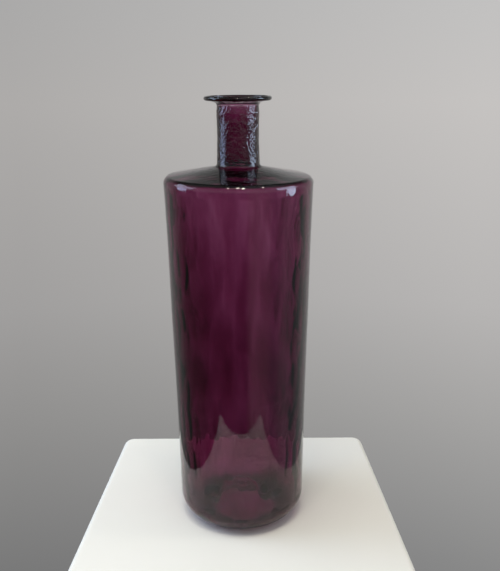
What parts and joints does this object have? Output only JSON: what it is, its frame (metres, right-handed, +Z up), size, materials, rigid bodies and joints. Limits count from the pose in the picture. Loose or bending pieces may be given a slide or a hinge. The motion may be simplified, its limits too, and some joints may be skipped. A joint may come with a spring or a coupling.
{
  "type": "glass bottle",
  "caption": "Tall blown-glass floor bottle with a tapering body, rounded low shoulder, slim open neck, flared lip and pushed-up base on felt pads.",
  "frame": {"origin": "centre of the base, on the axis, at the surface that the felt pads stand on", "axes": "+Z up along the bottle's axis, towards the mouth; -Y towards the front"},
  "size_m": [0.25, 0.25, 0.75],
  "materials": {
    "amethyst_glass": "clear deep amethyst, fire-polished, faintly wavy",
    "rim_glass": "the same glass seen through its thick rounded rim, nearly black",
    "scar_glass": "rough broken glass",
    "felt": "dark wool felt"
  },
  "bodies": {
    "root": {"push_up": "amethyst_glass", "heel": "amethyst_glass", "body_wall": "amethyst_glass", "shoulder": "amethyst_glass", "neck": "amethyst_glass", "lip_flare": "amethyst_glass", "rim_bead": "rim_glass", "pontil_scar": "scar_glass", "felt_pad_1": "felt", "felt_pad_2": "felt", "felt_pad_3": "felt", "felt_pad_4": "felt", "felt_pad_5": "felt", "felt_pad_6": "felt"}
  },
  "joints": []
}
